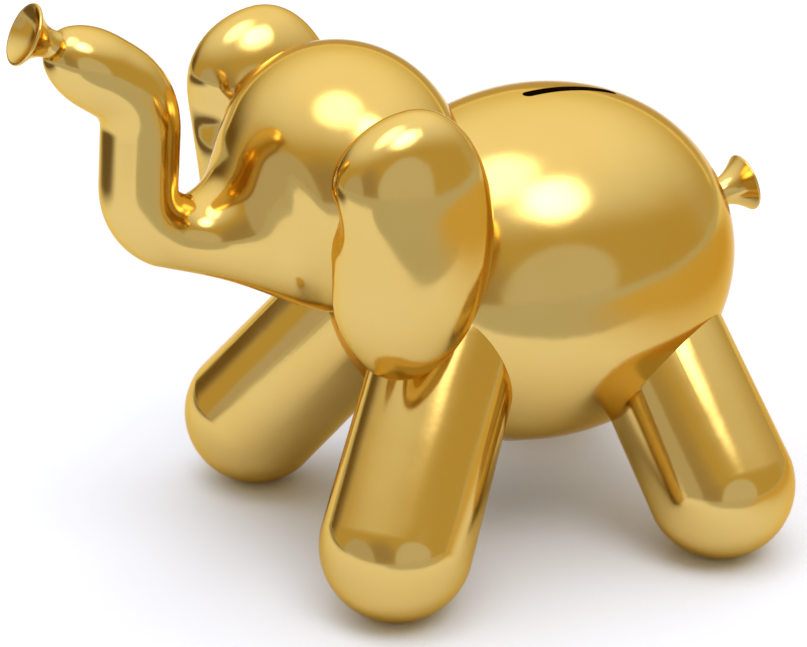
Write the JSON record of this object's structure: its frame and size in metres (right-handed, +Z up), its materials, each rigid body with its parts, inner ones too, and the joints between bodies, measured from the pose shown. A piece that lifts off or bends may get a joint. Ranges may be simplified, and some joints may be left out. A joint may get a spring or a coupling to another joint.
{
  "type": "figural animal coin bank",
  "caption": "Gold balloon-animal elephant coin bank: hollow torso with a coin slot, head with raised trunk, ears, legs, tied knots and a belly stopper.",
  "frame": {"origin": "centre of the overall bounding box in X and Y, at the floor the feet stand on (Z = 0)", "axes": "+Z up, the animal faces -Y, its left side is +X"},
  "size_m": [0.1788, 0.2662, 0.2028],
  "materials": {
    "gold_glaze": "mirror-bright gold electroplate over glazed slip-cast ceramic",
    "stopper_rubber": "soft matte"
  },
  "bodies": {
    "bank": {"torso_shell": "gold_glaze", "head_shell": "gold_glaze", "trunk_knot": "gold_glaze", "left_ear": "gold_glaze", "right_ear": "gold_glaze", "front_left_leg": "gold_glaze", "front_right_leg": "gold_glaze", "rear_left_leg": "gold_glaze", "rear_right_leg": "gold_glaze", "tail_knot": "gold_glaze"},
    "plug": {"stopper": "stopper_rubber"}
  },
  "joints": [
    {"name": "stopper_pull", "type": "slide", "parent": "bank", "child": "plug", "axis": [0, 0, -1], "range_m": [0, 0.02]}
  ]
}
